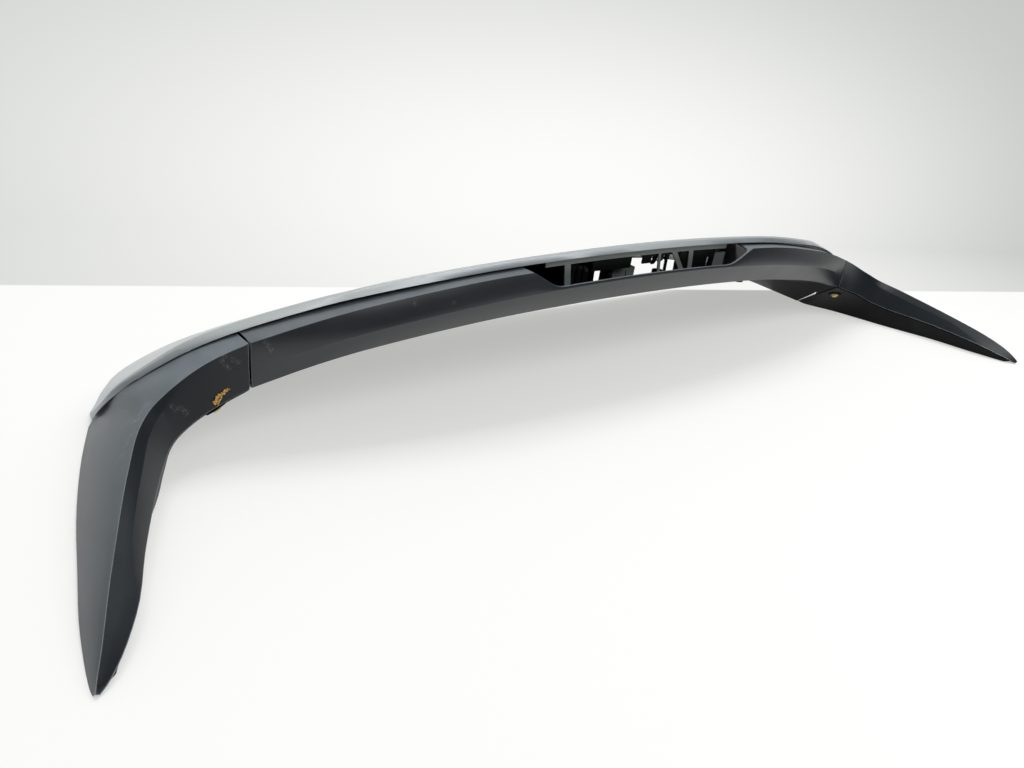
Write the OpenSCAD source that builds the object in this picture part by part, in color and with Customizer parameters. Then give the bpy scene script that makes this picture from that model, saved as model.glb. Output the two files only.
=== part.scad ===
/* [Overall] */
// Distance between the two blade tips
tip_span = 1200; // [1160:1:1250]
// Distance between the two seams of the rear cover
seam_span = 876; // [850:1:900]
// Height of the lip crown over the plane that the spoiler rests on
crown_height = 160; // [150:1:175]
// Distance from the blade tips forward to the lip crown
blade_reach = 198; // [185:1:215]
// Distance from the lip crown forward to the front edge
chord = 202; // [190:1:215]

/* [Walls] */
// Wall of the painted upper skin
skin_wall = 2.6; // [2:0.1:3.2]
// Wall of the rear cover
cover_wall = 2.5; // [2:0.1:3]
// Wall of the side blades
blade_wall = 2.5; // [2:0.1:3]
// Wall of the inner panels and of the carrier
panel_wall = 2.2; // [1.8:0.1:2.8]
// Gap that is left between two mouldings where they meet
fit_gap = 0.3; // [0.2:0.05:0.5]

/* [Upper skin] */
// Rise of the top surface over a straight line, at the centre
crown_rise = 0.8; // [0:0.1:2]
// Depth of the return under the lip
lip_return = 6; // [4:0.5:7]
// Size of the rounded edge of the lip
lip_round = 1.6; // [1:0.1:2.2]

/* [Rear cover] */
// How far the ledge of the cover reaches in under the lip
ledge_tuck = 11; // [8:0.5:13]
// Fall of the ledge from its outer edge to its inner edge
ledge_fall = 1.2; // [0.5:0.1:2]
// Depth of the return along the lower edge
cover_return = 10; // [8:0.5:12]
// Width of each seam between the cover and a blade
seam_gap = 1.8; // [1.2:0.1:2.6]

/* [Lamp aperture] */
// Place of the left upper corner of the aperture, left of the centre
lamp_left_top = 178; // [170:1:186]
// Place of the left lower corner of the aperture, left of the centre
lamp_left_low = 142; // [136:1:150]
// Place of the right upper corner of the aperture, right of the centre
lamp_right_top = 154; // [146:1:162]
// Place of the right lower corner of the aperture, right of the centre
lamp_right_low = 104; // [98:1:112]
// Height of the cover that is left over its crease below the aperture
rim_height = 2.8; // [2:0.2:5]

/* [Lamp frame] */
// Height of the top rail of the lamp frame
rail_h = 6; // [4:0.5:8]
// Depth of the lamp frame
frame_d = 10; // [8:0.5:11]
// Width of the wide posts
post_w = 8; // [6:0.5:9]
// Width of the narrow post
thin_post_w = 4; // [3:0.2:5]
// Wall of the lamp frame
frame_wall = 2; // [1.6:0.1:2.6]
// Left end of the lamp frame, measured from the centre
frame_left = -150; // [-156:1:-140]
// Right end of the lamp frame, measured from the centre
frame_right = 126; // [118:1:130]

/* [Lamp fittings] */
// Left end of the cable socket
box_left = -46.5; // [-48:0.5:-44]
// Right end of the cable socket
box_right = -14; // [-18:1:-10]
// Depth of the cable socket
box_d = 10; // [9:0.5:14]
// Left end of the latch beside the socket
latch_left = -56; // [-58:0.5:-55]
// Left end of the hooks on the left
hook_left = -113; // [-116:1:-110]
// Left end of the hooks on the right
hook_right = -13.5; // [-15:0.5:-12]
// Left end of the lamp stop
stop_left = 110; // [107:1:112]
// Width of the lamp stop
stop_w = 20; // [16:1:22]
// Thickness of the black plates behind the lamp frame
plate_wall = 2; // [1.6:0.1:2.4]

/* [Fixings] */
// Diameter of the mounting bosses
boss_d = 18; // [16:0.5:20]
// Outer diameter of the threaded inserts
insert_d = 10; // [9:0.5:11]
// Bore of the threaded inserts, for an M6 screw
insert_bore = 5; // [4.5:0.1:6]
// Length of the threaded inserts
insert_len = 12; // [10:0.5:14]
// Distance of the inner mounting bosses from the centre
boss_in = 150; // [130:1:165]
// Distance of the outer mounting bosses from the centre
boss_out = 330; // [300:1:345]
// Length of the mounting bosses
boss_h = 20; // [18:0.5:22]
// Outer diameter of the foam rings around the bosses
ring_d = 29; // [26:1:34]
// Thickness of the foam rings
ring_t = 2.5; // [2:0.5:5]
// Diameter of the yellow locating clips
clip_d = 11; // [9:0.5:12]
// Length of the locating clips
clip_h = 8; // [6:0.5:9]
// Wall of the sockets around the locating clips
socket_wall = 2; // [1.5:0.1:2.5]
// Depth of the sockets around the locating clips
socket_h = 7; // [6:0.5:9]
// Width of the foam strip at the front
seal_w = 12; // [10:1:14]
// Height of the foam strip at the front
seal_h = 6; // [5:0.5:8]

/* [Hidden] */

paint = "#a3a6a8";
satin = "#3a3f44";
blade_grey = "#7d8082";
black_plastic = "#1c1d1f";
frame_grey = "#b2b6b0";
stop_grey = "#8d9295";
foam_black = "#26272a";
brass = "#b5a56a";
clip_yellow = "#d8c46a";

// The guide lines are drawn at this size and follow the overall sizes
drawn_seam = 438;
drawn_tip = 600;
drawn_crown = [198, 160];
drawn_chord = 202;
seam_x = seam_span / 2;
tip_x = tip_span / 2;

function lerp(a, b, t) = a + (b - a) * t;
function clamp(v, lo, hi) = max(lo, min(hi, v));
function smooth(t) = let (c = clamp(t, 0, 1)) c * c * (3 - 2 * c);
function unit(v) = v / max(norm(v), 1e-9);
function flip_x(p) = [-p[0], p[1], p[2]];

function place_x(x) = x <= drawn_seam
    ? x * seam_x / drawn_seam
    : seam_x + (x - drawn_seam) * (tip_x - seam_x) / (drawn_tip - drawn_seam);
function place_y(y) = y <= drawn_crown[0]
    ? y * blade_reach / drawn_crown[0]
    : blade_reach + (y - drawn_crown[0]) * chord / drawn_chord;
// The origin lies half way between the blade tips and the front edge
mid_y = (blade_reach + chord + 1) / 2;
function place(p) = [
    place_x(p[0]), place_y(p[1]) - mid_y, p[2] * crown_height / drawn_crown[1]
];
// Setting back of the carrier's front wall from the front edge of the skin
roof_in = 6;
boss_y = place_y(314) - mid_y;
clip_dome = 2.5;
// Share of the carrier's width that the foam strip covers
seal_part = 0.97;
latch_right = latch_left + 8.5;
box_top = place([0, 0, 128])[2];
latch_top = place([0, 0, 127])[2];
stop_top = place([0, 0, 137])[2];
function box_y(x) = at_x(lip_low, x)[1] + 16;
function drawn(rows) = [for (p = rows) place(p)];

// Guide lines of the right half, from the centre outwards
lip_low = drawn([
    [0, 193, 152.7], [110, 194.8, 150.5], [220, 200.4, 143.3], [330, 214.2, 127.7],
    [385, 224.8, 115.2], [438, 238, 98.2], [475, 248.5, 81.8], [505, 256.5, 63.8],
    [528, 264.5, 46.8], [541, 277.5, 27.1], [545, 300, 5]
]);
lip_top = drawn([
    [0, 198, 159.6], [110, 199.3, 157.3], [220, 204, 150.3], [330, 220, 133.4],
    [385, 235, 118.8], [438, 247, 102.2], [475, 255, 87.6], [505, 261.5, 68.6],
    [528, 267, 50.7], [541, 279, 28.7], [545.2, 302.6, 8.4]
]);
front_edge = drawn([
    [0, 400, 72], [110, 400, 68], [220, 400, 60], [330, 400, 43],
    [385, 400, 33], [438, 400, 23], [475, 398, 11], [505, 388, 1],
    [524, 360, 0], [536, 334, 0], [543, 320, 0]
]);
// Rise of the top surface at the same stations, over the centre rise
corner_rise = [0, 0, 0, 0, 0, 0, -1, -1, 1, 0, 0];

cover_top = drawn([
    [0, 178, 149.4], [110, 180.3, 147.8], [220, 187.2, 141],
    [330, 200.2, 124], [385, 207, 112], [438, 215, 97]
]);
cover_crease = drawn([
    [0, 174, 131], [110, 175.9, 128.3], [220, 181.9, 119.9],
    [330, 193.6, 103.2], [385, 202.7, 90.3], [438, 214.4, 73.7]
]);
cover_low = drawn([
    [0, 191, 104.3], [110, 192.7, 102], [220, 197.9, 94.6],
    [330, 205.6, 80.6], [385, 209.7, 70.2], [438, 213.1, 57]
]);

// Guide lines of the right blade, from the seam to the tip
ridge = drawn([
    [438, 215, 97], [455, 215.5, 91.5], [472, 214.8, 85.3], [488, 211.5, 78.5],
    [504, 205, 71.5], [518, 196.5, 65], [529, 183, 60.5], [537, 168, 57],
    [545, 149, 52.5], [556, 121, 46], [569, 85, 37.5], [581, 51, 28.5],
    [591, 22, 18], [598, 6, 8], [600, 1, 3.6]
]);
crease = drawn([
    [438, 213.1, 57], [453, 211.5, 52], [468, 208, 48], [482, 204, 43.5],
    [495, 199, 38], [505, 193, 33.5], [513, 182, 30.5], [519, 170, 28.5],
    [527, 152, 27], [539, 122, 25], [552.5, 86, 21.3], [564.5, 50, 16.5],
    [578, 24, 10], [590, 8, 4.5], [597.5, 2, 1.2]
]);
outer_edge = drawn([
    [438, 243, 94.5], [457, 248.5, 87.5], [478, 254, 77.5], [497, 259.5, 66],
    [516.4, 265.3, 52.4], [532.4, 274.8, 36.4], [544, 304, 1.5], [558, 263, 1],
    [570, 215, 2.5], [581, 162, 3.5], [590, 107, 3.5], [597, 64, 2.5],
    [600.5, 30, 1], [601.5, 11, 0], [601, 4, 0]
]);
base_line = drawn([
    [475, 291, 0.5], [474, 280, 0.5], [479, 269, 0.5], [487, 256, 0.5],
    [495, 243, 0.5], [502, 228, 0.5], [508, 213, 0.5], [515, 196, 0.5],
    [524, 173, 0.5], [539, 141, 0.5], [556, 104, 0.5], [567, 68, 0.5],
    [577, 40, 0.5], [587, 14, 0.5], [595, 4, 0.4]
]);
// Rise of the outer face of the blade over a straight line
blade_rise = [0, 0.5, 1, 2, 4, 6, 7, 7, 6, 5, 4, 3, 2, 0.7, 0.2];
// Width of the strip beside the ridge, as a part of the rear face
strip_part = [0.2, 0.2, 0.2, 0.2, 0.22, 0.25, 0.28, 0.3, 0.33, 0.36, 0.44, 0.8, 0.5, 0.5, 0.5];
// How far the edge of that strip stands out of the rear face
strip_out = [0, 0, 0, 0, 0.8, 1.6, 2.2, 2.5, 2.6, 2.6, 2.4, 1, 0.5, 0.2, 0];

// A smooth curve through rows of points or numbers
function curve(rows, u, mirrored = false) =
    let (n = len(rows) - 1,
         i = min(floor(u), n - 1),
         t = u - i,
         a = rows[i],
         b = rows[i + 1],
         before = i > 0 ? rows[i - 1] : mirrored ? flip_x(rows[1]) : 2 * a - b,
         after = i < n - 1 ? rows[i + 2] : 2 * b - a)
    a + 0.5 * t * ((b - before)
        + t * ((2 * before - 5 * a + 4 * b - after)
        + t * (3 * a - before - 3 * b + after)));

// A point of a centre guide line at a place across the car
function row_of(rows, x, i = 0) = i >= len(rows) - 2 || x <= rows[i + 1][0] ? i : row_of(rows, x, i + 1);
function slope(rows, i) = i == 0
    ? [0, 0, 0]
    : (rows[min(i + 1, len(rows) - 1)] - rows[i - 1])
        / (rows[min(i + 1, len(rows) - 1)][0] - rows[i - 1][0]);
function at_x(rows, x) =
    let (i = row_of(rows, abs(x)),
         h = rows[i + 1][0] - rows[i][0],
         t = (abs(x) - rows[i][0]) / h,
         p = (1 + 2 * t) * (1 - t) * (1 - t) * rows[i]
            + t * (1 - t) * (1 - t) * h * slope(rows, i)
            + t * t * (3 - 2 * t) * rows[i + 1]
            + t * t * (t - 1) * h * slope(rows, i + 1))
    [x, p[1], p[2]];

// Mitred normal of a grid of points, one row of points for each station
function facet_normal(grid, i, j) =
    let (m = len(grid) - 1,
         along = grid[min(i + 1, m)][j] - grid[max(i - 1, 0)][j],
         n = len(grid[i]) - 1,
         before = unit(cross(along, grid[i][max(j, 1)] - grid[i][max(j, 1) - 1])),
         after = unit(cross(along, grid[i][min(j, n - 1) + 1] - grid[i][min(j, n - 1)])))
    (before + after) / (1 + max(before * after, -0.5));
// The grid moved inwards by the wall, times a share for each station and for each point
function inset(grid, wall, thin, shares) = [for (i = [0 : len(grid) - 1])
    [for (j = [0 : len(grid[i]) - 1])
        let (p = grid[i][j] + facet_normal(grid, i, j) * wall * thin[i] * shares[j])
        [p[0], p[1], max(p[2], 0)]]];
function full(rows) = [for (row = rows) 1];

function seated(grid) = [for (row = grid) [for (p = row) [p[0], p[1], max(p[2], 0)]]];

// A closed body through loops of points, one loop for each station
module loft(loops) {
    m = len(loops) - 1;
    n = len(loops[0]);
    function at(i, j) = i * n + j % n;
    sides = [for (i = [0 : m - 1]) for (j = [0 : n - 1])
        each [[at(i, j), at(i + 1, j + 1), at(i, j + 1)], [at(i, j), at(i + 1, j), at(i + 1, j + 1)]]];
    polyhedron(
        [for (l = loops) each l],
        concat([[for (j = [0 : n - 1]) at(0, j)]], sides, [[for (j = [n - 1 : -1 : 0]) at(m, j)]]),
        convexity = 4);
}
// The same, from a section that is worked out for each place across the car
module along(xs, section) {
    loft([for (x = xs) [for (p = section(x)) [x, p[0], p[1]]]]);
}

// A sheet of even wall between two grids of points, with openings given as
// ranges of stations and of points: [first station, last, first point, last]
module sheet(outer, inner, windows = []) {
    m = len(outer) - 1;
    n = len(outer[0]) - 1;
    count = (m + 1) * (n + 1);
    points = concat([for (row = outer) each row], [for (row = inner) each row]);
    function cut(i, j) = len([for (w = windows) if (i >= w[0] && i < w[1] && j >= w[2] && j < w[3]) 1]) > 0;
    function solid(i, j) = i >= 0 && i < m && j >= 0 && j < n && !cut(i, j);
    function at(i, j) = i * (n + 1) + j;
    function quad(a, b, c, d) = [[a, b, c], [a, c, d]];
    function side(a, b) = quad(a, a + count, b + count, b);
    faces = [for (i = [0 : m - 1]) for (j = [0 : n - 1]) if (solid(i, j))
        each concat(
            quad(at(i, j), at(i + 1, j), at(i + 1, j + 1), at(i, j + 1)),
            quad(at(i, j) + count, at(i, j + 1) + count, at(i + 1, j + 1) + count, at(i + 1, j) + count),
            solid(i, j - 1) ? [] : side(at(i, j), at(i + 1, j)),
            solid(i + 1, j) ? [] : side(at(i + 1, j), at(i + 1, j + 1)),
            solid(i, j + 1) ? [] : side(at(i + 1, j + 1), at(i, j + 1)),
            solid(i - 1, j) ? [] : side(at(i, j + 1), at(i, j)))];
    polyhedron(points, faces, convexity = 8);
}

// Upper skin: one painted moulding from seam to seam and round both corners
skin_steps = 4;
skin_last = len(lip_low) - 1;
top_parts = [1, 0.88, 0.7, 0.5, 0.3, 0.1];
function skin_row(u) =
    let (low = curve(lip_low, u, true),
         top = curve(lip_top, u, true),
         front = curve(front_edge, u, true),
         rise = crown_rise + curve(corner_rise, u, false),
         fade = clamp((skin_last - u) / 3, 0.15, 1),
         r = lip_round * fade,
         corner = smooth((u - 6) / 2))
    concat(
        [for (t = top_parts) lerp(top, front, t) + [0, 0, rise * 4 * t * (1 - t)]],
        [top + unit(front - top) * r,
         lerp(low, top, 0.72),
         low,
         low + lerp([0, lip_return, -0.6], unit(low - top) * 1.2, corner)]);
skin_half = [for (k = [0 : skin_last * skin_steps]) skin_row(k / skin_steps)];
function mirrored_rows(half) = concat(
    [for (k = [len(half) - 1 : -1 : 1]) [for (p = half[k]) flip_x(p)]],
    half);
skin_grid = seated(mirrored_rows(skin_half));
// The lip and its return are thinner than the skin
skin_shares = [1, 1, 1, 1, 1, 1, 1, 0.6, 0.4, 0.4];
corner_in = 45;
skin_thin = [for (row = skin_grid) clamp((tip_x - corner_in - abs(row[1][0])) / 80, 0.35, 1)];

module upper_skin() {
    color(paint)
    sheet(skin_grid, inset(skin_grid, skin_wall, skin_thin, skin_shares));
}

// Floor of the carrier, which falls from the cover to the front
function front_at(x) = at_x([for (k = [0 : 5]) front_edge[k]], x);
function floor_front(x) =
    let (f = front_at(x))
    [x, f[1] - 8, f[2] * 0.4];
function floor_dir(x) = unit(floor_front(x) - at_x(cover_low, x));
function floor_back(x) =
    let (d = floor_dir(x))
    at_x(cover_low, x) + d * cover_return * 0.6 + [0, -d[2], d[1]] * (cover_wall + fit_gap);
// Height of the top of that floor
function floor_top(x, y) =
    let (a = floor_back(x),
         b = floor_front(x),
         d = floor_dir(x))
    lerp(a[2], b[2], (y - a[1]) / (b[1] - a[1])) + panel_wall / d[1] + fit_gap;

// Rear cover, with the recess for the lamp in its top edge
function ramp(t) = let (c = clamp(t, 0, 1)) (c * c + smooth(c)) / 2;
function recess(x) = x < 0
    ? ramp((-x - lamp_left_low) / (lamp_left_top - lamp_left_low))
    : ramp((x - lamp_right_low) / (lamp_right_top - lamp_right_low));
function cover_row(x) =
    let (top = at_x(cover_top, x),
         mid = at_x(cover_crease, x),
         low = at_x(cover_low, x),
         lip = at_x(lip_low, x),
         rim = rim_height / norm(top - mid),
         open = recess(x),
         edge = lerp(mid, top, lerp(rim, 1, open)),
         ledge = [x, lip[1] + ledge_tuck, top[2] - ledge_fall],
         full_ledge = smooth((open - 0.86) / 0.14),
         inner = edge + lerp([0, cover_wall, -0.2], ledge - top, full_ledge))
    [inner,
     lerp(inner, edge, 0.3),
     edge,
     lerp(edge, mid, 0.75),
     mid,
     lerp(mid, low, 0.5),
     low,
     low + floor_dir(x) * cover_return];
function spread(a, b, n) = [for (k = [0 : n - 1]) lerp(a, b, k / n)];
function steps(a, b, n) = [for (k = [0 : n]) lerp(a, b, k / n)];
cover_end = seam_x - seam_gap / 2;
cover_x = concat(
    spread(-cover_end, -lamp_left_top, 14),
    spread(-lamp_left_top, -lamp_left_low, 10),
    spread(-lamp_left_low, lamp_right_low, 12),
    spread(lamp_right_low, lamp_right_top, 10),
    steps(lamp_right_top, cover_end, 14));
cover_grid = [for (x = cover_x) cover_row(x)];
// The ledge is thinner than the rest of the cover
cover_shares = [0.6, 0.6, 0.6, 1, 1, 1, 1, 1];

module lower_cover() {
    color(satin)
    sheet(cover_grid, inset(cover_grid, cover_wall, full(cover_grid), cover_shares));
}

// Side blades
blade_steps = 3;
blade_last = len(ridge) - 1;
function blade_row(u) =
    let (far = curve(outer_edge, u),
         top = curve(ridge, u),
         low = curve(crease, u),
         rise = curve(blade_rise, u),
         part = curve(strip_part, u),
         out = curve(strip_out, u),
         face = unit(cross(far - top, low - top)),
         across = unit(cross(face, low - top)),
         strip = lerp(top, low, part) + across * out,
         inward = unit([far[0] - low[0], far[1] - low[1], 0]),
         back = min(8, norm(far - low) / 3))
    concat(
        [for (t = [0, 0.2, 0.45, 0.7, 0.85]) lerp(far, top, t) + [0, 0, rise * 4 * t * (1 - t)]],
        [top,
         lerp(top, strip, 0.5),
         strip,
         low,
         low + inward * back + [0, 0, 0.5]]);
// Keeps a blade's end clear of the seam
blade_start = seam_x + seam_gap / 2;
function trimmed(grid) = [for (row = grid) [for (p = row) [max(p[0], blade_start), p[1], p[2]]]];
blade_grid = seated([for (k = [0 : blade_last * blade_steps]) blade_row(k / blade_steps)]);
blade_thin = [for (k = [0 : blade_last * blade_steps])
    clamp((blade_last - k / blade_steps) / 5, 0.12, 1)];

module blade() {
    color(blade_grey)
    sheet(trimmed(blade_grid), trimmed(inset(blade_grid, blade_wall, blade_thin, full(blade_grid[0]))));
}
module blade_right() {
    blade();
}
module blade_left() {
    mirror([1, 0, 0]) blade();
}

// Inner panel that closes a blade towards the middle of the car
function inner_row(u) =
    let (low = curve(crease, u),
         far = curve(outer_edge, u),
         base = curve(base_line, u),
         inward = unit([far[0] - low[0], far[1] - low[1], 0]),
         top = low + inward * 1.2 - [0, 0, 6 * fit_gap])
    [top, lerp(top, base, 0.35), lerp(top, base, 0.7), base];
inner_last = (blade_last - 1) * blade_steps;
inner_grid = seated([for (k = [0 : inner_last]) inner_row(k / blade_steps)]);

module blade_inner() {
    color(black_plastic)
    difference() {
        sheet(trimmed(inner_grid),
            trimmed(inset(inner_grid, panel_wall, full(inner_grid), full(inner_grid[0]))));
        facing(clip_at, clip_dir)
        translate([0, 0, -2 * socket_h])
        cylinder(h = 4 * socket_h, d = socket_d + 2 * fit_gap, $fn = 40);
    }
}
module blade_inner_right() {
    blade_inner();
}
module blade_inner_left() {
    mirror([1, 0, 0]) blade_inner();
}

// Locating clips in flanged sockets, set into the inner panels below the corners
clip_station = 1.35;
clip_part = 0.26;
clip_row = inner_row(clip_station);
clip_dir = unit(cross(
    inner_row(clip_station - 0.3)[1] - inner_row(clip_station + 0.3)[1],
    clip_row[3] - clip_row[0]));
clip_at = lerp(clip_row[0], clip_row[3], clip_part);
socket_d = clip_d + 2 * socket_wall + 2 * fit_gap;
flange_h = 1;
module facing(p, d) {
    translate(p)
    rotate([0, acos(d[2]), atan2(d[1], d[0])])
    children();
}
module clip_socket() {
    color(black_plastic)
    facing(clip_at, clip_dir)
    difference() {
        union() {
            translate([0, 0, -socket_h])
            cylinder(h = socket_h + flange_h, d = socket_d, $fn = 40);
            translate([0, 0, 2 * fit_gap])
            cylinder(h = flange_h, d = socket_d + 3, $fn = 40);
        }
        translate([0, 0, socket_wall - socket_h])
        cylinder(h = 2 * socket_h, d = clip_d + 2 * fit_gap, $fn = 40);
    }
}
module clip_socket_right() {
    clip_socket();
}
module clip_socket_left() {
    mirror([1, 0, 0]) clip_socket();
}
module locator_clip() {
    color(clip_yellow)
    facing(clip_at + clip_dir * (socket_wall - socket_h + fit_gap), clip_dir) {
        cylinder(h = clip_h - clip_dome, d = clip_d, $fn = 40);
        translate([0, 0, clip_h - clip_dome])
        cylinder(h = clip_dome, d1 = clip_d, d2 = clip_d - 2 * clip_dome, $fn = 40);
    }
}
module locator_clip_right() {
    locator_clip();
}
module locator_clip_left() {
    mirror([1, 0, 0]) locator_clip();
}

// Carrier under the skin, a floor with a windowed front wall and four bosses
function carrier_row(x) =
    let (back = floor_back(x),
         front = floor_front(x),
         f = front_at(x),
         top = at_x(lip_top, x),
         fall = (top[2] - f[2]) / (f[1] - top[1]),
         roof = [x, f[1] - roof_in,
             f[2] + fall * roof_in - skin_wall * sqrt(1 + fall * fall) - fit_gap])
    [back, lerp(back, front, 0.33), lerp(back, front, 0.66), front,
     lerp(front, roof, max(0.12, 3.5 / norm(roof - front))), lerp(front, roof, 0.55),
     lerp(front, roof, 0.96), roof];
carrier_end = seam_x - seam_gap / 2;
carrier_half = [0, 36, 72, 108, 134, 155, 176, 202, 228, 252, 257, 275, 310, 345, 380, 410, carrier_end];
carrier_mid = len(carrier_half) - 1;
carrier_x = concat(
    [for (k = [carrier_mid : -1 : 1]) -carrier_half[k]],
    carrier_half);
carrier_grid = [for (x = carrier_x) carrier_row(x)];
// Windows of the front wall, as first and last station and upper end
window_half = [[3, 4, 5], [6, 9, 6], [10, 11, 6], [13, 14, 6]];
windows = concat(
    [for (w = window_half) [carrier_mid + w[0], carrier_mid + w[1], 4, w[2]]],
    [for (w = window_half) [carrier_mid - w[1], carrier_mid - w[0], 4, w[2]]]);
boss_places = [for (x = [-boss_out, -boss_in, boss_in, boss_out]) [x, boss_y]];
function floor_under(x, y) = floor_top(x, y) - panel_wall / floor_dir(x)[1] - fit_gap;
function boss_foot(x) = floor_under(x, boss_y + boss_d / 2) - 0.5;

module inner_carrier() {
    color(black_plastic)
    difference() {
        union() {
            sheet(carrier_grid,
                inset(carrier_grid, panel_wall, full(carrier_grid), full(carrier_grid[0])), windows);
            for (p = boss_places)
                translate([p[0], p[1], boss_foot(p[0])])
                cylinder(h = boss_h, d = boss_d, $fn = 48);
        }
        for (p = boss_places)
            translate([p[0], p[1], boss_foot(p[0]) - 1])
            cylinder(h = insert_len + 1 + fit_gap, d = insert_d + 2 * fit_gap, $fn = 48);
    }
}

// Brass threaded inserts in the bosses, and foam rings on the floor round them
module threaded_inserts() {
    color(brass)
    for (p = boss_places)
        translate([p[0], p[1], boss_foot(p[0])])
        difference() {
            cylinder(h = insert_len, d = insert_d, $fn = 48);
            translate([0, 0, -1])
            cylinder(h = insert_len + 2, d = insert_bore, $fn = 48);
        }
}
module insert_seals() {
    color(foam_black)
    for (p = boss_places)
        let (d = floor_dir(p[0]),
             across = (floor_under(p[0] + 10, p[1]) - floor_under(p[0] - 10, p[1])) / 20)
        translate([p[0], p[1], floor_under(p[0], p[1]) - 2 * fit_gap])
        rotate([asin(d[2]), -atan(across), 0])
        translate([0, 0, -ring_t])
        difference() {
            cylinder(h = ring_t, d = ring_d, $fn = 48);
            translate([0, 0, -1])
            cylinder(h = ring_t + 2, d = boss_d / d[1] + 2, $fn = 48);
        }
}

// Foam strip under the front edge of the carrier
module front_seal() {
    color(foam_black)
    along([for (x = carrier_x) x * seal_part], function(x)
        let (f = floor_front(x))
        [[f[1], f[2] - fit_gap],
         [f[1] - seal_w / 2, f[2] - fit_gap + seal_w / 2 * 0.3],
         [f[1] - seal_w / 2, f[2] - fit_gap + seal_w / 2 * 0.42 - seal_h],
         [f[1] + seal_w / 2, f[2] - fit_gap - seal_h],
         [f[1] + seal_w / 2, f[2] - fit_gap]]);
}

// Walls under the two corners
corner_x = carrier_end + fit_gap;
function corner_row(t) =
    let (top = lerp(floor_back(corner_x), floor_front(corner_x), lerp(0.018, 0.98, t)),
         foot = lerp(place([475, 292.5, 0]), place([474, 388, 0]), t))
    [foot, lerp(top, foot, 0.5), top];
corner_grid = [for (k = [0 : 8]) corner_row(k / 8)];

module corner_wall() {
    color(black_plastic)
    sheet(corner_grid, inset(corner_grid, panel_wall, full(corner_grid), full(corner_grid[0])));
}
module corner_wall_right() {
    corner_wall();
}
module corner_wall_left() {
    mirror([1, 0, 0]) corner_wall();
}

// Light frame in the aperture that the lamp would clip to: a top rail, a foot
// rail on the floor of the carrier and posts between them
function frame_y(x) = at_x(lip_low, x)[1] + 5;
function ceiling(x) = at_x(lip_low, x)[2] - 1.5;
// Setting in of the posts from the faces of the rails
post_in = 0.3;
// How far the foot of an upright post stands to the right of its head
post_lean = 7.8;
module post(x, w, lean = post_lean) {
    function ring(at, z) = let (y = frame_y(at)) [
        [at - w / 2, y + post_in, z], [at + w / 2, y + post_in, z],
        [at + w / 2, y + frame_wall - post_in, z], [at - w / 2, y + frame_wall - post_in, z]];
    loft([ring(x + lean, floor_top(x + lean, frame_y(x)) + 1), ring(x, ceiling(x) - 1)]);
}
module lamp_frame() {
    color(frame_grey)
    union() {
        along(steps(frame_left, frame_right, 14), function(x)
            let (y = frame_y(x),
                 z = ceiling(x))
            [[y + frame_wall, z - frame_wall], [y + frame_d, z - frame_wall], [y + frame_d, z], [y, z],
             [y, z - rail_h], [y + frame_wall, z - rail_h]]);
        along(steps(frame_left, frame_right, 14), function(x)
            let (y = frame_y(x))
            [[y, floor_top(x, y)], [y + frame_wall, floor_top(x, y + frame_wall)],
             [y + frame_wall, floor_top(x, y) + rail_h], [y, floor_top(x, y) + rail_h]]);
        post(-122.7, post_w);
        post(8.5, thin_post_w);
        post(29, post_w, 4.5 * post_lean);
        post(61, 0.9 * post_w);
    }
}

// Socket of the lamp cable, a light box with its mouth at the right end and a
// thin slot in its rear face
box_wall = 1.4;
module connector_body() {
    color(frame_grey)
    difference() {
        along([box_left, box_right], function(x)
            let (y = box_y(x),
                 z = box_top)
            [[y, floor_top(x, y)], [y + box_d, floor_top(x, y + box_d)], [y + box_d, z], [y, z]]);
        translate([box_right - 14, box_y(box_right) + box_wall, box_top - 9])
        cube([15, box_d - 2 * box_wall - 0.4, 7]);
        translate([box_left + 19, box_y(box_left) - 3, box_top - 13])
        cube([1.4, 4.2, 10]);
    }
}

// Dark latch beside the socket, with a lever on its rear face
module connector_latch() {
    color(black_plastic)
    union() {
        along([latch_left, latch_right], function(x)
            let (y = box_y(x))
            [[y + 3, floor_top(x, y + 3)], [y + 10, floor_top(x, y + 10)], [y + 10, latch_top],
             [y + 3, latch_top]]);
        translate([latch_left + 2, box_y(latch_left), latch_top])
        rotate([90, 0, 90])
        linear_extrude(latch_right - latch_left - 4)
        polygon([[3.5, -6], [3.5, -1], [0, -1], [-3, -4], [-3, -12], [-1.4, -12], [-1.4, -6]]);
    }
}

// Sprung hooks that hold the lamp, on the foot and under the top rail, and the
// setting in of the hooks from the rear face of their foot
hook_in = 0.8;
hooks_w = 27;
function hook_y(x) = frame_y(x) + frame_wall + fit_gap + hook_in;
module hook(x, z, wide, section) {
    translate([x, hook_y(x), z])
    rotate([90, 0, 90])
    linear_extrude(wide)
    polygon(section);
}
module lamp_latch_left() {
    color(black_plastic)
    union() {
        along([hook_left, hook_left + hooks_w], function(x)
            let (y = frame_y(x) + frame_wall + fit_gap)
            [[y, floor_top(x, y)], [y + 12, floor_top(x, y + 12)], [y + 12, floor_top(x, y) + 10],
             [y, floor_top(x, y) + 10]]);
        for (k = [0 : 2])
            let (x = hook_left + 1 + 9 * k)
            hook(x, floor_top(x, hook_y(x)) + 9.5, 4.6,
                [[0, 0], [3, 0], [3, 24 - 4 * k], [7, 29 - 4 * k], [5, 31 - 4 * k], [0, 26 - 4 * k]]);
    }
}
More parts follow.
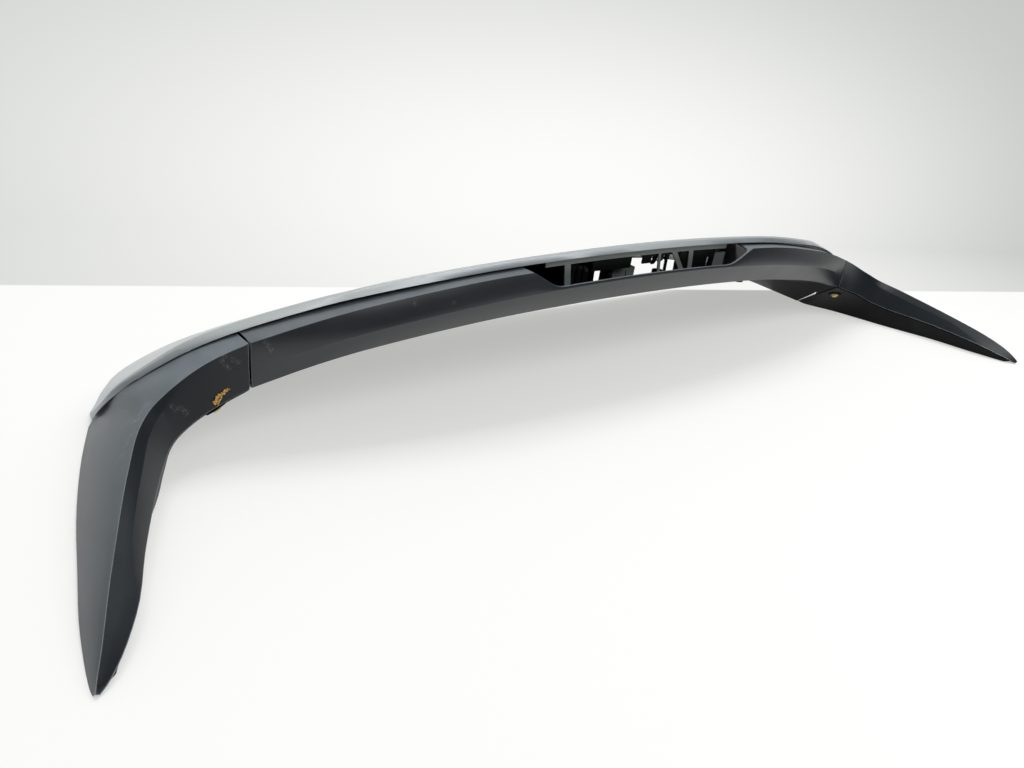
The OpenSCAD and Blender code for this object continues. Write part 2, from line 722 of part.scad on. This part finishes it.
module lamp_latch_right() {
    color(black_plastic)
    union() {
        along([hook_right, hook_right + 46], function(x)
            let (y = frame_y(x) + frame_wall + fit_gap,
                 z = ceiling(x) - frame_wall - fit_gap)
            [[y, z - 7], [y + 9, z - 7], [y + 9, z], [y, z]]);
        hook(hook_right + 1, ceiling(hook_right) - frame_wall - fit_gap - 6, 13,
            [[0, 0], [0, -9], [2, -9], [2, 0]]);
        for (k = [0 : 2])
            let (x = hook_right + 18 + 10 * k)
            hook(x, ceiling(x) - frame_wall - fit_gap - 6, 5,
                [[0, 0], [0, -7], [3, 2 * k - 12], [5, 2 * k - 10], [2.5, -6], [2.5, 0]]);
    }
}

// Stop at the right end of the lamp, a ribbed block on the floor
module lamp_end_stop() {
    color(stop_grey)
    union() {
        along([stop_left, stop_left + stop_w], function(x)
            let (y = frame_y(x) + frame_wall + fit_gap)
            [[y, floor_top(x, y)], [y + 8, floor_top(x, y + 8)], [y + 8, stop_top - 3], [y, stop_top]]);
        for (k = [0 : 2])
            let (left = stop_left + 2 + k * (stop_w - 6) / 2)
            along([left, left + 2], function(x)
                let (y = frame_y(x) + frame_wall + fit_gap)
                [[y + 7.5, floor_top(x, y + 7.5) + 0.3], [y + 16, floor_top(x, y + 16) + 0.3],
                 [y + 7.5, stop_top - 6]]);
    }
}

// Black plates behind the lamp frame: a band that hangs from the top rail on the
// left, and a full plate with a small window on the right
band_low = place([0, 0, 131.5])[2];
band_right = -31;
window_top = place([0, 0, 133.2])[2];
window_low = place([0, 0, 123])[2];
plate_x = [46, 72, 97, 103.5, stop_left - fit_gap];
plate_grid = [for (x = plate_x)
    let (y = frame_y(x) + frame_wall + fit_gap)
    [[x, y, ceiling(x) - frame_wall - fit_gap], [x, y, window_top], [x, y, window_low],
     [x, y, floor_top(x, y)]]];

module lamp_plates() {
    color(black_plastic)
    union() {
        along(steps(hook_left + hooks_w + fit_gap, band_right, 4), function(x)
            let (y = frame_y(x) + frame_wall + fit_gap)
            [[y, band_low], [y + plate_wall, band_low],
             [y + plate_wall, ceiling(x) - frame_wall - fit_gap],
             [y, ceiling(x) - frame_wall - fit_gap]]);
        sheet(plate_grid,
            [for (row = plate_grid) [for (p = row) p + [0, plate_wall, 0]]], [[2, 3, 1, 2]]);
    }
}

upper_skin();
lower_cover();
blade_left();
blade_right();
blade_inner_left();
blade_inner_right();
inner_carrier();
corner_wall_left();
corner_wall_right();
lamp_frame();
connector_body();
connector_latch();
lamp_latch_left();
lamp_latch_right();
lamp_end_stop();
lamp_plates();
threaded_inserts();
insert_seals();
front_seal();
clip_socket_left();
clip_socket_right();
locator_clip_left();
locator_clip_right();
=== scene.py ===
import math
import random

import bpy
from mathutils import Matrix, Vector
from mathutils.bvhtree import BVHTree


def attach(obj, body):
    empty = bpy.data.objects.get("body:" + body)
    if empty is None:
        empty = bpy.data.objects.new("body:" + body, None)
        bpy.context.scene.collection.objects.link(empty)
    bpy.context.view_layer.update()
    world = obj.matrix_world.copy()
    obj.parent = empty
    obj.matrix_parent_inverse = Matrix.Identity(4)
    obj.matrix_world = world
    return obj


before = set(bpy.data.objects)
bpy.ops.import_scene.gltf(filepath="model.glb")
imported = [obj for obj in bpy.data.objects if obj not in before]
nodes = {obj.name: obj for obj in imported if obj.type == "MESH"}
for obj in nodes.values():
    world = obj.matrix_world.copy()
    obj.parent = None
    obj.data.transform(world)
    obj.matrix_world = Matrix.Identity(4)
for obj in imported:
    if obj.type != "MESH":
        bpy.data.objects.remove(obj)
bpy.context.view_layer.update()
SIDES = ("left", "right")
MM = 1000  # millimetres in a metre


def add_object(name, data):
    """A new object in the scene."""
    made = bpy.data.objects.new(name, data)
    bpy.context.scene.collection.objects.link(made)
    return made


# Camera of the photograph: its place in metres, and what is right and down in the picture
SENSOR = 36
FOCAL_PX, WIDTH_PX = 770, 1024
CLIP_START = 0.01
CAMERA_AT = Vector((-0.632, -0.5475, 0.373))
CAMERA_RIGHT = Vector((0.79929825, -0.58553261, 0.13518085))
CAMERA_DOWN = Vector((-0.1685493, -0.4343618, -0.88482821))

camera_data = bpy.data.cameras.new("camera")
camera_data.sensor_fit = "HORIZONTAL"
camera_data.sensor_width = SENSOR
camera_data.lens = SENSOR * FOCAL_PX / WIDTH_PX
camera_data.clip_start = CLIP_START
camera = add_object("camera", camera_data)
camera_turn = Matrix((CAMERA_RIGHT, -CAMERA_DOWN, CAMERA_RIGHT.cross(-CAMERA_DOWN))).transposed()
camera.matrix_world = Matrix.Translation(CAMERA_AT) @ camera_turn.to_4x4()
bpy.context.scene.camera = camera

# Sockets of a colour mix node, whose names aren't unique
MIX_AMOUNT, MIX_FIRST, MIX_SECOND, MIX_RESULT = 0, 6, 7, 2


def tone(code):
    """The colour that a hex code names, made linear by the sRGB curve, as a shader takes it."""
    parts = [int(code[i:i + 2], 16) / 255 for i in (1, 3, 5)]
    return [p / 12.92 if p <= 0.04045 else ((p + 0.055) / 1.055) ** 2.4 for p in parts] + [1]


class Tree:
    """A short way to write a node tree. Most methods add a step and return its output socket."""

    def __init__(self, tree):
        self.tree = tree
        self.tree.nodes.clear()
        self.place = None

    def node(self, kind, inputs=None, **settings):
        """Adds a node and returns the node itself."""
        made = self.tree.nodes.new(kind)
        for name, value in settings.items():
            setattr(made, name, value)
        for name, value in (inputs or {}).items():
            self.set(made.inputs[name], value)
        return made

    def set(self, socket, value):
        """Links an output socket to this input, or makes the input a constant."""
        if isinstance(value, bpy.types.NodeSocket):
            self.tree.links.new(value, socket)
        else:
            socket.default_value = value

    def position(self):
        """The place on the object, in metres. The whole tree shares one node for it."""
        if self.place is None:
            self.place = self.node("ShaderNodeTexCoord").outputs["Object"]
        return self.place

    def normal(self):
        """The direction in which the face looks."""
        return self.node("ShaderNodeNewGeometry").outputs["Normal"]

    def parts(self, vector):
        """The outputs X, Y and Z of a vector."""
        return self.node("ShaderNodeSeparateXYZ", {0: vector}).outputs

    def math(self, operation, a, b=0.0, c=0.0):
        return self.node("ShaderNodeMath", {0: a, 1: b, 2: c}, operation=operation).outputs[0]

    def vector(self, operation, a, b=(0, 0, 0)):
        """Vector arithmetic: a length or a dot product gives a number, and the rest a vector."""
        made = self.node("ShaderNodeVectorMath", {0: a, 1: b}, operation=operation)
        return made.outputs["Value" if operation in ("LENGTH", "DOT_PRODUCT") else "Vector"]

    def ramp(self, value, low, high, start=0.0, end=1.0):
        """A soft step, from start where the value is low to end where it is high."""
        made = self.node("ShaderNodeMapRange", {
            "Value": value, "From Min": low, "From Max": high, "To Min": start, "To Max": end},
            interpolation_type="SMOOTHSTEP")
        return made.outputs["Result"]

    def around(self, middle, spread, value):
        """A number half the spread below the middle where the value is 0, and half above where it is 1."""
        return self.math("MULTIPLY_ADD", value, spread, middle - spread / 2)

    def noise(self, scale, detail=2, rough=0.5, squeeze=None):
        """Cloudy noise from 0 to 1, squeezed by a factor for each axis."""
        where = self.position()
        if squeeze:
            where = self.node("ShaderNodeMapping", {"Vector": where, "Scale": squeeze}).outputs[0]
        made = self.node("ShaderNodeTexNoise", {
            "Vector": where, "Scale": scale, "Detail": detail, "Roughness": rough})
        return made.outputs["Fac"]

    def mix(self, amount, first, second):
        """The first colour, with this amount of the second in its place."""
        made = self.node("ShaderNodeMix", {
            MIX_AMOUNT: amount, MIX_FIRST: first, MIX_SECOND: second}, data_type="RGBA")
        return made.outputs[MIX_RESULT]

    def far_from(self, point, squash=None):
        """The distance of the place from a point, with a factor for each axis."""
        away = self.vector("SUBTRACT", self.position(), point)
        if squash:
            away = self.vector("MULTIPLY", away, squash)
        return self.vector("LENGTH", away)

    def near(self, point, radius, soft):
        """1 near a point and 0 beyond the radius, fading over the outer share of it that soft gives."""
        return self.ramp(self.far_from(point), radius * (1 - soft), radius, start=1.0, end=0.0)

    def bump(self, height, strength, distance):
        """The direction of a face that is embossed by this height."""
        return self.node("ShaderNodeBump", {
            "Height": height, "Strength": strength, "Distance": distance}).outputs[0]


class Finish(Tree):
    """A material with one shader, whose colour is built up in layers."""

    def __init__(self, name, base="#ffffff"):
        self.material = bpy.data.materials.new(name)
        self.material.use_nodes = True
        super().__init__(self.material.node_tree)
        self.shader = self.node("ShaderNodeBsdfPrincipled")
        self.output = self.node("ShaderNodeOutputMaterial", {0: self.shader.outputs[0]})
        self.paint(tone(base))

    def put(self, name, value):
        """Sets an input of the shader."""
        self.set(self.shader.inputs[name], value)

    def paint(self, colour):
        """Makes this the colour so far."""
        self.colour = colour
        self.put("Base Color", colour)

    def layer(self, amount, code):
        """Lays the tone of a hex code over the colour so far."""
        self.paint(self.mix(amount, self.colour, tone(code)))


def assign(finish, *names):
    """Gives nodes of the frame this finish."""
    for name in names:
        slots = nodes[name].data.materials
        slots.clear()
        slots.append(finish.material)


# What the finishes share, with lengths in metres
DUST = "#8e9090"
# How much the paler tone of dust and painted light hides the colour below it
DUST_AND_LIGHT_HIDES = 0.9
GRAIN_DEPTH = 0.0004
SPOT_SOFT = 0.75
EDGE_SAMPLES = 6
PAINT_FLAKES = 2600


def plastic(name, base, worn, rough, grain, grain_size, dust_and_light=0.05, gloss=0.5, metallic=0.0):
    """Moulded plastic: fine grain, patchy sheen and a little dust."""
    t = Finish(name, base)
    cloud = t.noise(scale=9, detail=3)
    patch = t.ramp(t.noise(scale=38, detail=4, rough=0.6), low=0.45, high=0.75)
    t.layer(t.math("MULTIPLY", cloud, 0.5), worn)
    t.layer(t.math("MULTIPLY", patch, dust_and_light), DUST)
    t.put("Specular IOR Level", gloss)
    t.put("Metallic", metallic)
    t.put("Roughness", t.around(rough, 0.08, cloud))
    t.put("Normal", t.bump(t.noise(grain_size), grain, GRAIN_DEPTH))
    return t


def dust_and_lit_faces(t, none, full, outwards):
    """Dust on faces that look up, and painted light on the side that they lie on: 1 there, and less low
    down, which is painted shade near the floor.

    None and full say how far up a face looks where it starts and where it is complete."""
    looks = t.parts(t.normal())
    place = t.parts(t.position())
    side = t.math("MULTIPLY", looks["X"], t.math("SIGN", place["X"]))
    facing = t.ramp(t.math("MULTIPLY_ADD", side, outwards, looks["Z"]), none, full)
    # Painted shade: the paler tone thins low down, towards the floor
    return t.math("MULTIPLY", facing, t.ramp(place["Z"], low=-0.01, high=0.1, start=0.25))


def satin(name, base, worn, dust_and_light, none, full, rough, gloss, outwards=0.0):
    """Satin moulding that is dark by itself, greyer where dust lies on faces that look up, with painted
    light on faces that look outwards and painted shade low down.
    """
    t = Finish(name, base)
    smear = t.noise(scale=26, detail=5, rough=0.62, squeeze=(1, 1, 2.2))
    uneven = t.ramp(smear, low=0.25, high=0.7, start=0.72)
    dust_and_light_mask = t.math("MULTIPLY", dust_and_lit_faces(t, none, full, outwards), uneven)
    t.layer(t.noise(scale=7, detail=3), worn)
    # The paler tone: dust on faces that look up, painted light on faces that look outwards
    t.layer(t.math("MULTIPLY", dust_and_light_mask, DUST_AND_LIGHT_HIDES), dust_and_light)
    t.put("Specular IOR Level", gloss)
    t.put("Roughness", t.math("MULTIPLY_ADD", dust_and_light_mask, 0.16, t.around(rough, 0.12, smear)))
    t.put("Normal", t.bump(t.noise(scale=1500), 0.12, GRAIN_DEPTH))
    return t


def edge_highlight(t, radius, pale, much):
    """A painted highlight: a paler line where two faces meet."""
    rounded = t.node("ShaderNodeBevel", {"Radius": radius}, samples=EDGE_SAMPLES).outputs[0]
    same = t.vector("DOT_PRODUCT", rounded, t.normal())
    t.layer(t.ramp(same, low=0.9, high=0.995, start=much, end=0.0), pale)


def marks(t, spots, radius, pale, grit, much):
    """Scuffs or specks in a paler colour, broken up by a fine noise."""
    broken = t.ramp(t.noise(grit, detail=3, rough=0.7), low=0.54, high=0.62)
    for x, y, z in spots:
        spot = t.near((x / MM, y / MM, z / MM), radius, SPOT_SOFT)
        t.layer(t.math("MULTIPLY", t.math("MULTIPLY", spot, broken), much), pale)


def metallic_paint(name):
    """Silver paint: fine flakes, a soft haze, and painted shade, a darker tone on faces that stand
    upright.
    """
    t = Finish(name, "#b6b9ba")
    cells = t.node("ShaderNodeTexVoronoi", {"Vector": t.position(), "Scale": PAINT_FLAKES})
    flake = t.node("ShaderNodeSeparateColor", {0: cells.outputs["Color"]}).outputs["Red"]
    haze = t.noise(scale=6, detail=3)
    t.layer(flake, "#c3c6c7")
    t.layer(t.math("MULTIPLY", haze, 0.3), "#a9aeb0")
    # Painted shade: faces that stand upright are darker than those that look up
    t.layer(t.ramp(t.parts(t.normal())["Z"], low=0.35, high=0.85, start=0.85, end=0.0), "#979ea3")
    t.put("Metallic", 0.6)
    t.put("Roughness", t.around(0.5, 0.1, haze))
    t.put("Coat Weight", 0.3)
    t.put("Coat Roughness", 0.15)
    t.put("Normal", t.bump(t.noise(scale=500), 0.05, 0.0003))
    return t


# Painted skin
assign(metallic_paint("silver_paint"), "upper_skin")

# Satin cover, with a few specks, whose places are in millimetres
COVER_SPECKS = [(-262.7, -12.4, 122.1), (-299.3, -6.1, 123), (-426, 12.4, 97.4),
                (-423.8, 11.7, 94.7), (-421.6, 11, 90.2)]
cover = satin("cover_satin", "#181c20", "#1e2227", "#6b7277", none=0.4, full=0.95,
              rough=0.32, gloss=0.65)
# Painted highlight along the edges and creases of the cover
edge_highlight(cover, radius=0.0008, pale="#7f868b", much=0.6)
marks(cover, COVER_SPECKS, radius=0.0035, pale="#8a867c", grit=1500, much=0.7)
assign(cover, "lower_cover")

# Satin blades, with specks on the left corner and scuffs along the left ridge
CORNER_SPECKS = [(-457.6, 14.7, 88.1), (-460.1, 14.4, 85.1), (-457.3, 13.8, 80.4),
                 (-455.1, 13.5, 78.4), (-451.5, 14.2, 84.6), (-447.7, 14, 82.3),
                 (-502.9, 0.9, 60.2), (-500.2, 1, 56), (-496.8, 2.4, 56.3), (-494, 2.6, 53),
                 (-491.9, 2.7, 50.6)]
RIDGE_SCUFFS = [(-519.2, 3, 64.3), (-521.9, 3.9, 62.6), (-525.3, -0.8, 60.7),
                (-528.9, -6.8, 58.6), (-531.6, -5.9, 56.2), (-533, 1.1, 53.6),
                (-536.5, -20.9, 55.4), (-542.9, -27.1, 51.2), (-546.9, -35.7, 48.9)]
blade = satin("blade_satin", "#14191d", "#1c2126", "#777f85", none=0.4, full=1.05,
              rough=0.34, gloss=0.34, outwards=0.5)
# Painted highlight along the ridges and edges of the blades
edge_highlight(blade, radius=0.001, pale="#9aa1a6", much=0.75)
marks(blade, CORNER_SPECKS, radius=0.0035, pale="#7d796f", grit=1500, much=0.7)
marks(blade, RIDGE_SCUFFS, radius=0.005, pale="#a9adaf", grit=900, much=0.45)
assign(blade, "blade_left", "blade_right")

# Black mouldings inside
black = plastic("black_plastic", "#08090a", "#0d0e0f", rough=0.5, grain=0.3, grain_size=700,
                dust_and_light=0.02, gloss=0.15)
assign(black, "inner_carrier", "connector_latch", "lamp_plates")
for side in SIDES:
    assign(black, f"blade_inner_{side}", f"corner_wall_{side}", f"lamp_latch_{side}",
           f"clip_socket_{side}")

# Grey mouldings of the lamp aperture
assign(plastic("frame_plastic", "#7f8581", "#6f7572", rough=0.5, grain=0.2, grain_size=900, gloss=0.3),
       "lamp_frame")
assign(plastic("socket_plastic", "#6b736e", "#5d6561", rough=0.5, grain=0.2, grain_size=900, gloss=0.3),
       "connector_body")
assign(plastic("stop_plastic", "#6c7172", "#5e6365", rough=0.45, grain=0.2, grain_size=900),
       "lamp_end_stop")

# Brass inserts, foam seals and yellow clips
assign(plastic("insert_metal", "#b59c5c", "#9a8348", rough=0.3, grain=0.1, grain_size=1500, dust_and_light=0.0,
               metallic=1.0), "threaded_inserts")
assign(plastic("seal_foam", "#232427", "#2e2f33", rough=0.85, grain=0.8, grain_size=1100),
       "insert_seals", "front_seal")
assign(plastic("clip_plastic", "#d8c46a", "#c2ab54", rough=0.42, grain=0.2, grain_size=900),
       "locator_clip_left", "locator_clip_right")

# Even shading over the curved faces, and crisp edges, which are rounded a little on the large pieces
SHARP = math.radians(24)
BLADE_SHARP = math.radians(12)
BLADES = ("blade_left", "blade_right")
ROUNDED = {"upper_skin": 0.0008, "lower_cover": 0.0007, "blade_left": 0.0008, "blade_right": 0.0008}
ROUND_STEPS = 2
WELD = 0.00001


def smooth_group(name, sharp):
    """Geometry nodes that shade smoothly across edges that are flatter than the sharp angle."""
    group = bpy.data.node_groups.new(name, "GeometryNodeTree")
    group.interface.new_socket("Geometry", in_out="INPUT", socket_type="NodeSocketGeometry")
    group.interface.new_socket("Geometry", in_out="OUTPUT", socket_type="NodeSocketGeometry")
    start = group.nodes.new("NodeGroupInput")
    end = group.nodes.new("NodeGroupOutput")
    angle = group.nodes.new("GeometryNodeInputMeshEdgeAngle")
    flat = group.nodes.new("FunctionNodeCompare")
    flat.operation = "LESS_EQUAL"
    flat.inputs[1].default_value = sharp
    edges = group.nodes.new("GeometryNodeSetShadeSmooth")
    edges.domain = "EDGE"
    faces = group.nodes.new("GeometryNodeSetShadeSmooth")
    faces.domain = "FACE"
    links = group.links
    links.new(angle.outputs["Unsigned Angle"], flat.inputs[0])
    links.new(start.outputs[0], faces.inputs["Geometry"])
    links.new(faces.outputs[0], edges.inputs["Geometry"])
    links.new(flat.outputs[0], edges.inputs["Shade Smooth"])
    links.new(edges.outputs[0], end.inputs[0])
    return group


smooth = smooth_group("smooth_by_angle", SHARP)
smooth_blade = smooth_group("smooth_blade", BLADE_SHARP)
for name, node in nodes.items():
    weld = node.modifiers.new("weld", "WELD")
    weld.merge_threshold = WELD
    if name in ROUNDED:
        bevel = node.modifiers.new("bevel", "BEVEL")
        bevel.width = ROUNDED[name]
        bevel.segments = ROUND_STEPS
        bevel.limit_method = "ANGLE"
        bevel.angle_limit = BLADE_SHARP if name in BLADES else SHARP
    shade = node.modifiers.new("smooth", "NODES")
    shade.node_group = smooth_blade if name in BLADES else smooth

# Torn flakes of old tape on the corner of the left blade: place and size of each in millimetres
FLAKES_AT = [(-467.8, 8.4, 52.5, 3.2), (-466.8, 8.9, 54.8, 2.6), (-464.9, 9.7, 56.7, 3.0),
             (-463.1, 10.1, 58, 2.2), (-460.6, 10.7, 59, 3.0), (-458.8, 11.2, 60.3, 2.4),
             (-466.3, 8.4, 51.2, 2.0), (-469.6, 8.6, 53.6, 1.6)]
FLAKE_SIDES = 9
FLAKE_SEED = 11
FLAKE_LONG = (1.2, 1.9)
FLAKE_REACH = (0.45, 1.05)
# Heights over the blade, in metres
MIDDLE_TOP, MIDDLE_FOOT = 0.0005, 0.0001
EDGE_LIFT = (0.0003, 0.0013)
EDGE_THICK = 0.0002


def flakes_mesh(name):
    """Small torn plates that lie on the blade's skin, with ragged and lifted edges."""
    draw = random.Random(FLAKE_SEED)
    body = nodes["blade_left"].data
    skin = BVHTree.FromPolygons([v.co for v in body.vertices], [tuple(p.vertices) for p in body.polygons])
    points, faces = [], []
    for x, y, z, size in FLAKES_AT:
        spot, up = skin.find_nearest(Vector((x, y, z)) / MM)[:2]
        side = up.orthogonal().normalized()
        over = up.cross(side)
        first = len(points)
        turn = draw.uniform(0, math.tau)
        long = draw.uniform(*FLAKE_LONG)
        points += [spot + up * MIDDLE_TOP, spot + up * MIDDLE_FOOT]
        for i in range(FLAKE_SIDES):
            angle = i * math.tau / FLAKE_SIDES
            reach = size / MM * draw.uniform(*FLAKE_REACH)
            length = reach * long * math.cos(angle)
            width = reach / long * math.sin(angle)
            sideways = length * math.cos(turn) - width * math.sin(turn)
            onwards = length * math.sin(turn) + width * math.cos(turn)
            edge = spot + side * sideways + over * onwards
            lift = draw.uniform(*EDGE_LIFT)
            points += [edge + up * lift, edge + up * (lift - EDGE_THICK)]
        for i in range(FLAKE_SIDES):
            top = first + 2 + 2 * i
            after = first + 2 + 2 * ((i + 1) % FLAKE_SIDES)
            faces += [(first, top, after), (first + 1, after + 1, top + 1),
                      (top, top + 1, after + 1, after)]
    data = bpy.data.meshes.new(name)
    data.from_pydata(points, [], faces)
    return data


def tape_paper(name):
    """Yellowed paper with coarse fibres."""
    t = Finish(name, "#9a6a24")
    t.layer(t.ramp(t.noise(scale=700, detail=4, rough=0.7), low=0.38, high=0.62), "#dcb878")
    t.put("Roughness", 0.85)
    t.put("Specular IOR Level", 0.2)
    t.put("Normal", t.bump(t.noise(scale=1200, detail=3), 0.4, 0.0003))
    return t


flakes = add_object("tape_flakes", flakes_mesh("tape_flakes"))
flakes.data.materials.append(tape_paper("tape_paper").material)
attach(flakes, "root")

# Pale floor, and a wall whose tone starts on the floor, along the line where the two seem to meet
FLOOR = 6  # half the floor's side and half the wall's width, in metres
WALL_TALL = 3
LINE_AT = Vector((-0.5728, 0.451, 0))  # a point on the line
LINE_SLOPE = -0.2965
LINE_SOFT = 0.003
BEHIND = 0.25  # from the line to the foot of the wall
GLOW = 0.5  # the share of its own tone that the floor gives off before the line
# The wall's brightest spot is the middle of a painted pool of light
BRIGHT_ALONG, BRIGHT_UP = 0.8, 0.08  # from the foot to the brightest spot of the wall
WALL_SQUASH = (1, 1, 2.6)
along = Vector((1, LINE_SLOPE, 0)).normalized()
foot = LINE_AT + Vector((-LINE_SLOPE, 1, 0)).normalized() * BEHIND
BRIGHT = foot + along * BRIGHT_ALONG + Vector((0, 0, BRIGHT_UP))


def seen_or_mirrored(t):
    """1 for rays from the camera, and for those that metal and glass send on."""
    path = t.node("ShaderNodeLightPath").outputs
    mirrored = t.math("MAXIMUM", path["Is Glossy Ray"], path["Is Transmission Ray"])
    return t.math("MAXIMUM", path["Is Camera Ray"], mirrored)


def stage(name, corners, glow, tones):
    """A flat piece of the set, which shows its own tone to the camera and to mirrors.

    Glow says how much of the tone replaces what the light gives. To the camera the piece is clear
    from its back side, so that it never hides the object."""
    data = bpy.data.meshes.new(name)
    data.from_pydata(corners, [], [(0, 1, 2, 3)])
    made = add_object(name, data)
    t = Finish(name + "_tone")
    t.paint(tones(t))
    t.put("Roughness", 0.8)
    t.put("Specular IOR Level", 0.1)
    light = t.node("ShaderNodeEmission", {"Color": t.colour, "Strength": 1.0}).outputs[0]
    blend = t.node("ShaderNodeMixShader", {
        0: t.math("MULTIPLY", seen_or_mirrored(t), glow(t)), 1: t.shader.outputs[0], 2: light})
    behind = t.math("MULTIPLY", t.node("ShaderNodeNewGeometry").outputs["Backfacing"],
                    t.node("ShaderNodeLightPath").outputs["Is Camera Ray"])
    clear = t.node("ShaderNodeBsdfTransparent").outputs[0]
    blend = t.node("ShaderNodeMixShader", {0: behind, 1: blend.outputs[0], 2: clear})
    t.set(t.output.inputs[0], blend.outputs[0])
    data.materials.append(t.material)
    return made


def wall_tone(t):
    """Pale wall with a painted pool of light, that falls off softly from its brightest spot."""
    fall = t.ramp(t.far_from(BRIGHT, WALL_SQUASH), low=0.1, high=1.45)
    return t.mix(fall, tone("#fcfcfb"), tone("#c6c9c6"))


def past_line(t):
    """0 on the floor before the line and 1 behind it."""
    spot = t.parts(t.position())
    line = t.math("MULTIPLY_ADD", spot["X"], LINE_SLOPE, LINE_AT[1] - LINE_SLOPE * LINE_AT[0])
    return t.ramp(t.math("SUBTRACT", spot["Y"], line), -LINE_SOFT, LINE_SOFT)


def floor_tone(t):
    """The floor's own tone before the line, and the wall's tone behind it."""
    return t.mix(past_line(t), tone("#fafaf8"), wall_tone(t))


def floor_glow(t):
    """Part of the tone before the line, where the object's shadow falls, and all of it behind."""
    return t.math("MULTIPLY_ADD", past_line(t), 1 - GLOW, GLOW)


stage("floor", [(-FLOOR, -FLOOR, 0), (FLOOR, -FLOOR, 0), (FLOOR, FLOOR, 0), (-FLOOR, FLOOR, 0)],
      floor_glow, floor_tone)
left_end = foot - along * FLOOR
right_end = foot + along * FLOOR
rise = Vector((0, 0, WALL_TALL))
wall = stage("wall", [left_end, right_end, right_end + rise, left_end + rise], lambda t: 1.0, wall_tone)
wall.visible_shadow = False
wall.visible_diffuse = False

# Soft studio light: a bright sky over the object and a dim room behind the camera
AHEAD, ABOVE, ROOM = 0.5, 0.3, 0.08
world = bpy.data.worlds.new("studio")
world.use_nodes = True
bpy.context.scene.world = world
sky = Tree(world.node_tree)
way = sky.parts(sky.node("ShaderNodeTexCoord").outputs["Generated"])
ahead = sky.ramp(way["Y"], low=-0.4, high=0.6, end=AHEAD)
above = sky.ramp(way["Z"], low=0.2, high=0.95, end=ABOVE)
light = sky.math("ADD", sky.math("ADD", ahead, above), ROOM)
seen = sky.node("ShaderNodeBackground", {"Color": tone("#e9e9e6"), "Strength": 1.0})
lit = sky.node("ShaderNodeBackground", {"Color": tone("#eef1f4"), "Strength": light})
from_camera = sky.node("ShaderNodeLightPath").outputs["Is Camera Ray"]
mixed = sky.node("ShaderNodeMixShader", {0: from_camera, 1: lit.outputs[0], 2: seen.outputs[0]})
sky.node("ShaderNodeOutputWorld", {0: mixed.outputs[0]})


def area(name, at, target, size, power):
    """A soft lamp that looks at the target."""
    data = bpy.data.lights.new(name, "AREA")
    data.shape = "RECTANGLE"
    data.size, data.size_y = size
    data.energy = power
    lamp = add_object(name, data)
    lamp.location = at
    lamp.rotation_mode = "QUATERNION"
    lamp.rotation_quaternion = (Vector(target) - Vector(at)).to_track_quat("-Z", "Y")


area("window", at=(0.1, 0.75, 2.2), target=(0, 0, 0), size=(1.6, 0.9), power=26)
area("room", at=(0.5, -1.6, 2.0), target=(0, 0.1, 0), size=(2.2, 1.2), power=30)

bpy.context.scene.view_settings.view_transform = "Standard"
